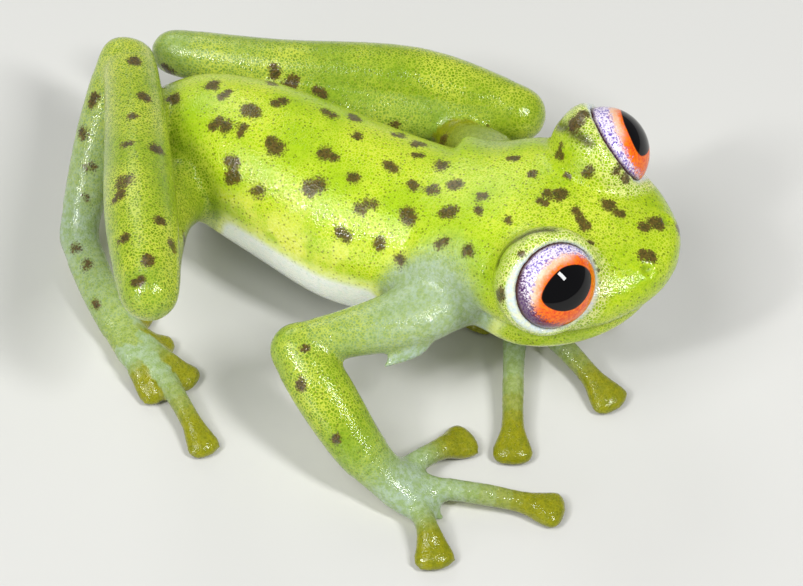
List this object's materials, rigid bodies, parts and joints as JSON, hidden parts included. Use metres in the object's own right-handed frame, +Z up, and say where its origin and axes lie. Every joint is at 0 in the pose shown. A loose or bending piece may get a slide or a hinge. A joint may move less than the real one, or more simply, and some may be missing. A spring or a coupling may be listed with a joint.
{
  "type": "glass frog model",
  "caption": "Life-size still model of a glass frog crouching with its head raised, fingers and toes spread on the ground.",
  "frame": {"origin": "middle of the footprint's box, at the level of the ground that the pads rest on", "axes": "+Z up, -Y the way the frog faces, +X towards the frog's left"},
  "size_m": [0.0238, 0.0272, 0.0108],
  "materials": {
    "back_skin": "wet lime-green skin with a fine pale net and dark purple-brown spots",
    "head_skin": "wet lime-green skin, paler green at the lips, with dark purple-brown spots",
    "eye": "wet glossy cornea over an orange iris with a lilac outer band and a black level pupil",
    "upper_arm_skin": "wet translucent blue-green skin",
    "limb_skin": "wet yellow-green skin with fine darker dots and a few dark spots",
    "hand_skin": "wet translucent blue-green skin",
    "finger_skin": "wet olive-yellow skin with round pads",
    "foot_skin": "wet translucent pale green skin",
    "toe_skin": "wet olive-yellow skin with small round pads"
  },
  "bodies": {
    "root": {"torso": "back_skin", "head": "head_skin", "eye_left": "eye", "eye_right": "eye", "upper_arm_right": "upper_arm_skin", "forearm_right": "limb_skin", "palm_right": "hand_skin", "finger_1_right": "finger_skin", "finger_2_right": "finger_skin", "finger_3_right": "finger_skin", "finger_4_right": "finger_skin", "thigh_right": "limb_skin", "shank_right": "limb_skin", "tarsus_right": "foot_skin", "sole_right": "foot_skin", "toe_1_right": "toe_skin", "toe_2_right": "toe_skin", "toe_3_right": "toe_skin", "toe_4_right": "toe_skin", "toe_5_right": "toe_skin", "upper_arm_left": "upper_arm_skin", "forearm_left": "limb_skin", "palm_left": "hand_skin", "finger_1_left": "finger_skin", "finger_2_left": "finger_skin", "finger_3_left": "finger_skin", "finger_4_left": "finger_skin", "thigh_left": "limb_skin", "shank_left": "limb_skin", "tarsus_left": "foot_skin", "sole_left": "foot_skin", "toe_1_left": "toe_skin", "toe_2_left": "toe_skin", "toe_3_left": "toe_skin", "toe_4_left": "toe_skin", "toe_5_left": "toe_skin"}
  },
  "joints": []
}
